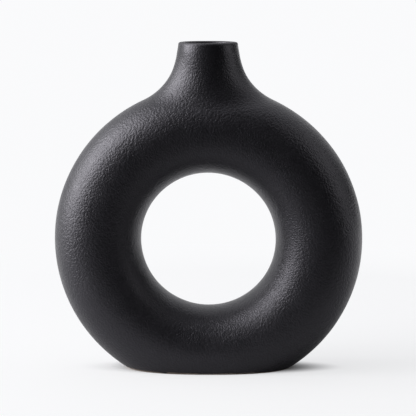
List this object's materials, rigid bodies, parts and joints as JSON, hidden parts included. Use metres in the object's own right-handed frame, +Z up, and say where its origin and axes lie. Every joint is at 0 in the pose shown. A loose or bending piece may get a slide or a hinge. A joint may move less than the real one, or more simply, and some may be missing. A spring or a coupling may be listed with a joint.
{
  "type": "donut vase",
  "caption": "Free-standing hollow ring vase with a short flared neck and round mouth, matte black glaze over stoneware, on a flat bare clay foot.",
  "frame": {"origin": "centre of the foot's flat bottom face, directly below the mouth", "axes": "+Z up through the mouth; X across the ring, along its width; Y along the axis of the ring's hole, so the ring is seen face on when looking along +Y"},
  "size_m": [0.2258, 0.0636, 0.24],
  "materials": {
    "bare_clay": "unglazed, fine sandy stoneware",
    "black_glaze": "matte, finely pebbled",
    "liner_glaze": "smooth satin"
  },
  "bodies": {
    "root": {"clay_body": "bare_clay", "outer_glaze": "black_glaze", "inner_glaze": "liner_glaze"}
  },
  "joints": []
}
